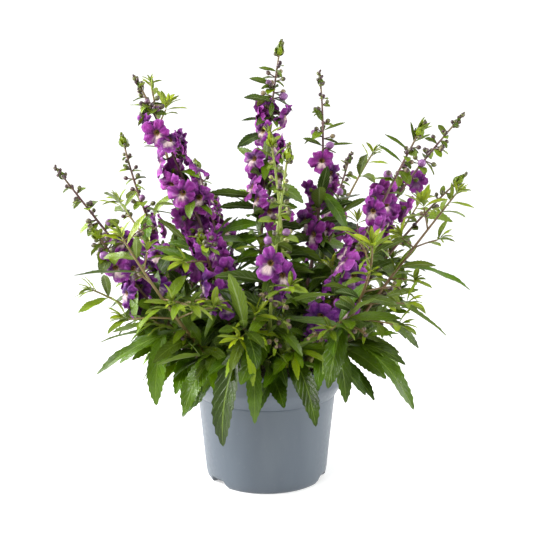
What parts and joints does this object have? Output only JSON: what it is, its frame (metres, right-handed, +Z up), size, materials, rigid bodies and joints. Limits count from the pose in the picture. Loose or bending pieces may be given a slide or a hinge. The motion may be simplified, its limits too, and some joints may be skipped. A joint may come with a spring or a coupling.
{
  "type": "potted flowering plant",
  "caption": "Angelonia in a plain grey nursery pot, with upright racemes of violet two-lipped blooms, round buds and narrow toothed leaves that spill over the rim.",
  "frame": {"origin": "middle of the pot's foot ring, on the surface that it stands on", "axes": "+Z up, -Y towards the side that the plant is usually seen from, +X to the right of it"},
  "size_m": [0.3094, 0.2382, 0.3321],
  "materials": {
    "pot": "satin",
    "soil": "matte",
    "mature_green": "satin",
    "young_green": "satin",
    "petals": "matte"
  },
  "bodies": {
    "root": {"pot": "pot", "soil": "soil", "raceme_01": "mature_green", "raceme_02": "mature_green", "raceme_03": "mature_green", "raceme_04": "mature_green", "raceme_05": "mature_green", "raceme_06": "mature_green", "raceme_07": "mature_green", "raceme_08": "mature_green", "raceme_09": "mature_green", "raceme_10": "mature_green", "raceme_11": "mature_green", "raceme_12": "mature_green", "raceme_13": "mature_green", "raceme_14": "mature_green", "blooms_01": "petals", "blooms_02": "petals", "blooms_03": "petals", "blooms_04": "petals", "blooms_05": "petals", "blooms_06": "petals", "blooms_07": "petals", "blooms_09": "petals", "blooms_10": "petals", "blooms_11": "petals", "blooms_12": "petals", "blooms_13": "petals", "blooms_14": "petals", "shoot_01": "young_green", "shoot_02": "young_green", "shoot_03": "young_green", "shoot_04": "young_green", "shoot_05": "young_green", "shoot_06": "young_green", "shoot_07": "young_green", "shoot_08": "young_green", "shoot_09": "young_green", "skirt_01": "mature_green", "skirt_02": "mature_green", "skirt_03": "mature_green", "skirt_04": "mature_green", "skirt_05": "mature_green", "skirt_06": "mature_green", "skirt_07": "mature_green", "skirt_08": "mature_green", "skirt_09": "mature_green", "skirt_10": "mature_green", "skirt_11": "mature_green", "skirt_12": "mature_green"}
  },
  "joints": []
}
